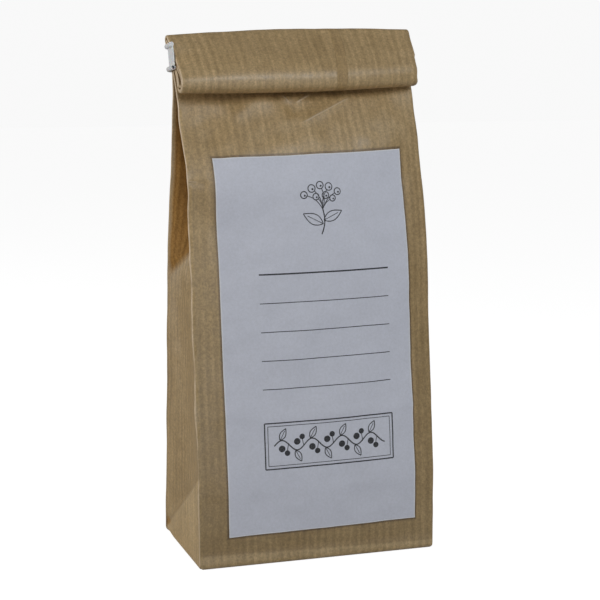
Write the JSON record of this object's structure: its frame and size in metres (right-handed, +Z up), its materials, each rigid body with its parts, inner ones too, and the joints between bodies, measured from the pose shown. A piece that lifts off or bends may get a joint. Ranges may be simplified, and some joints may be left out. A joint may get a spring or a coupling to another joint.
{
  "type": "closed kraft paper bag",
  "caption": "Filled block-bottom paper bag with its top rolled down, a wired clip strip behind the roll and a plain label on the front.",
  "frame": {"origin": "centre of the bag's flat bottom", "axes": "+X along the bag's width to the viewer's right, -Y out of the labelled front, +Z up"},
  "size_m": [0.0731, 0.0431, 0.1491],
  "materials": {
    "kraft_paper": "natural brown, finely ribbed, slight sheen",
    "label_paper": "matt white",
    "clip_plastic": "white, smooth",
    "clip_steel": "bare wire",
    "berry_skin": "dried, wrinkled, dull black"
  },
  "bodies": {
    "root": {"paper_bag": "kraft_paper", "label": "label_paper", "clip_strip": "clip_plastic", "clip_wire_upper": "clip_steel", "clip_wire_lower": "clip_steel", "dried_berries": "berry_skin"}
  },
  "joints": []
}
